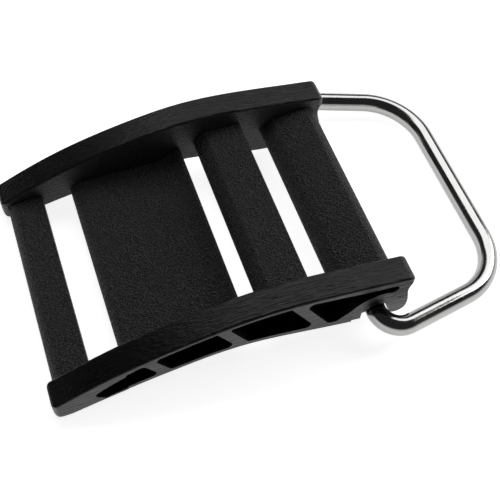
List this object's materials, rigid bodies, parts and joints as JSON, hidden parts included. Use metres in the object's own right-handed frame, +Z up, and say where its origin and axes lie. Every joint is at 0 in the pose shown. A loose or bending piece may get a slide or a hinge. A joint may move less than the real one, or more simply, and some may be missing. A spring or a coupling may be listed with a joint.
{
  "type": "cam band buckle",
  "caption": "Arched moulded strap buckle with webbing slots and a swinging wire ring, for tensioning a two-inch strap.",
  "frame": {"origin": "middle of the footprint at rest, on the plane that the toes and the ring's far bar stand on", "axes": "+X along the strap towards the ring, +Y across the strap, +Z up out of the arch"},
  "size_m": [0.1226, 0.0818, 0.0226],
  "materials": {
    "black_nylon": "satin rails, fine-grained matte bars",
    "ring_steel": "polished stainless wire"
  },
  "bodies": {
    "frame": {"buckle_frame": "black_nylon"},
    "ring": {"wire_ring": "ring_steel"}
  },
  "joints": [
    {"name": "ring_swing", "type": "hinge", "parent": "frame", "child": "ring", "pos_m": [0.02021, 0, 0.00672], "axis": [0, -1, 0], "range_deg": [-168, 125]}
  ]
}
